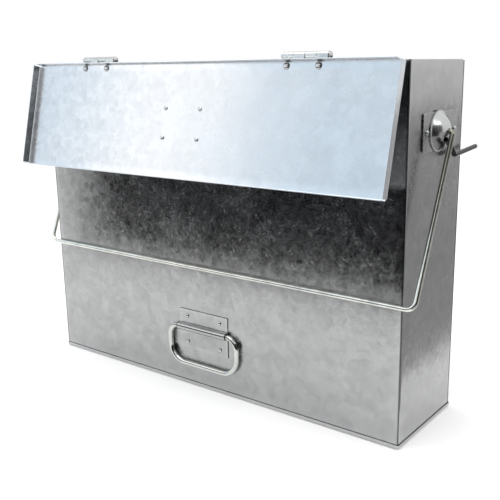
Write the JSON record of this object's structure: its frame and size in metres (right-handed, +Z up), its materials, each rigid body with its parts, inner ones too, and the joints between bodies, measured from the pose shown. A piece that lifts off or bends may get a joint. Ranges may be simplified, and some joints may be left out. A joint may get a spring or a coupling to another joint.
{
  "type": "rabbit hopper feeder",
  "caption": "Slim galvanised hopper feeder with a front-hinged tray lid, a swinging wire bail, drop handles and a feed window in the back.",
  "frame": {"origin": "centre of the box's flat underside", "axes": "+X across the box to the right seen from the front, -Y out of the front face the lid hangs over, +Z up"},
  "size_m": [0.5166, 0.1807, 0.3665],
  "materials": {
    "back_panel": "spangled galvanised sheet",
    "bail": "bright zinc-plated wire",
    "body_hinge_rivet_1": "bright domed steel",
    "body_hinge_rivet_2": "bright domed steel",
    "body_hinge_rivet_3": "bright domed steel",
    "body_hinge_rivet_4": "bright domed steel",
    "bottom_pan": "spangled galvanised sheet",
    "ear_dome_left": "bright zinc plate",
    "ear_dome_right": "bright zinc plate",
    "ear_plate_left": "bright zinc plate",
    "ear_plate_right": "bright zinc plate",
    "ear_rivet_left_1": "bright domed steel",
    "ear_rivet_left_2": "bright domed steel",
    "ear_rivet_right_1": "bright domed steel",
    "ear_rivet_right_2": "bright domed steel",
    "feed_baffle": "spangled galvanised sheet",
    "front_handle_plate": "bright zinc plate",
    "front_handle_ring": "bright zinc-plated wire",
    "front_handle_rivet_1": "bright domed steel",
    "front_handle_rivet_2": "bright domed steel",
    "front_handle_rivet_3": "bright domed steel",
    "front_handle_rivet_4": "bright domed steel",
    "front_panel": "spangled galvanised sheet",
    "hinge_body_leaf_left": "bright zinc plate",
    "hinge_body_leaf_right": "bright zinc plate",
    "hinge_lid_leaf_left": "bright zinc plate",
    "hinge_lid_leaf_right": "bright zinc plate",
    "hinge_pin_left": "bright domed steel",
    "hinge_pin_right": "bright domed steel",
    "hook_left": "bright zinc-plated wire",
    "hook_right": "bright zinc-plated wire",
    "left_side_panel": "spangled galvanised sheet",
    "lid_handle_plate": "bright zinc plate",
    "lid_handle_ring": "bright zinc-plated wire",
    "lid_handle_rivet_1": "bright domed steel",
    "lid_handle_rivet_2": "bright domed steel",
    "lid_handle_rivet_3": "bright domed steel",
    "lid_handle_rivet_4": "bright domed steel",
    "lid_hinge_rivet_1": "bright domed steel",
    "lid_hinge_rivet_2": "bright domed steel",
    "lid_hinge_rivet_3": "bright domed steel",
    "lid_hinge_rivet_4": "bright domed steel",
    "lid_tray": "spangled galvanised sheet",
    "right_side_panel": "spangled galvanised sheet",
    "window_edging": "bright zinc plate"
  },
  "bodies": {
    "hopper": {"back_panel": "back_panel", "body_hinge_rivet_1": "body_hinge_rivet_1", "body_hinge_rivet_2": "body_hinge_rivet_2", "body_hinge_rivet_3": "body_hinge_rivet_3", "body_hinge_rivet_4": "body_hinge_rivet_4", "bottom_pan": "bottom_pan", "ear_dome_left": "ear_dome_left", "ear_dome_right": "ear_dome_right", "ear_plate_left": "ear_plate_left", "ear_plate_right": "ear_plate_right", "ear_rivet_left_1": "ear_rivet_left_1", "ear_rivet_left_2": "ear_rivet_left_2", "ear_rivet_right_1": "ear_rivet_right_1", "ear_rivet_right_2": "ear_rivet_right_2", "feed_baffle": "feed_baffle", "front_handle_plate": "front_handle_plate", "front_handle_rivet_1": "front_handle_rivet_1", "front_handle_rivet_2": "front_handle_rivet_2", "front_handle_rivet_3": "front_handle_rivet_3", "front_handle_rivet_4": "front_handle_rivet_4", "front_panel": "front_panel", "hinge_body_leaf_left": "hinge_body_leaf_left", "hinge_body_leaf_right": "hinge_body_leaf_right", "hinge_pin_left": "hinge_pin_left", "hinge_pin_right": "hinge_pin_right", "hook_left": "hook_left", "hook_right": "hook_right", "left_side_panel": "left_side_panel", "right_side_panel": "right_side_panel", "window_edging": "window_edging"},
    "lid": {"hinge_lid_leaf_left": "hinge_lid_leaf_left", "hinge_lid_leaf_right": "hinge_lid_leaf_right", "lid_handle_plate": "lid_handle_plate", "lid_handle_rivet_1": "lid_handle_rivet_1", "lid_handle_rivet_2": "lid_handle_rivet_2", "lid_handle_rivet_3": "lid_handle_rivet_3", "lid_handle_rivet_4": "lid_handle_rivet_4", "lid_hinge_rivet_1": "lid_hinge_rivet_1", "lid_hinge_rivet_2": "lid_hinge_rivet_2", "lid_hinge_rivet_3": "lid_hinge_rivet_3", "lid_hinge_rivet_4": "lid_hinge_rivet_4", "lid_tray": "lid_tray"},
    "bail": {"bail": "bail"},
    "front_ring": {"front_handle_ring": "front_handle_ring"},
    "lid_ring": {"lid_handle_ring": "lid_handle_ring"}
  },
  "joints": [
    {"name": "lid_hinge", "type": "hinge", "parent": "hopper", "child": "lid", "pos_m": [0, -0.0618, 0.363], "axis": [-1, 0, 0], "range_deg": [0, 256.2]},
    {"name": "bail_pivot", "type": "hinge", "parent": "hopper", "child": "bail", "pos_m": [0, 0.0005, 0.2945], "axis": [-1, 0, 0], "range_deg": [0, 316.5]},
    {"name": "front_ring_pivot", "type": "hinge", "parent": "hopper", "child": "front_ring", "pos_m": [0, -0.0614, 0.0697], "axis": [-1, 0, 0], "range_deg": [0, 175]},
    {"name": "lid_ring_pivot", "type": "hinge", "parent": "lid", "child": "lid_ring", "pos_m": [0, -0.07765, 0.30017], "axis": [-1, 0, 0], "range_deg": [-20, 13.5]}
  ]
}
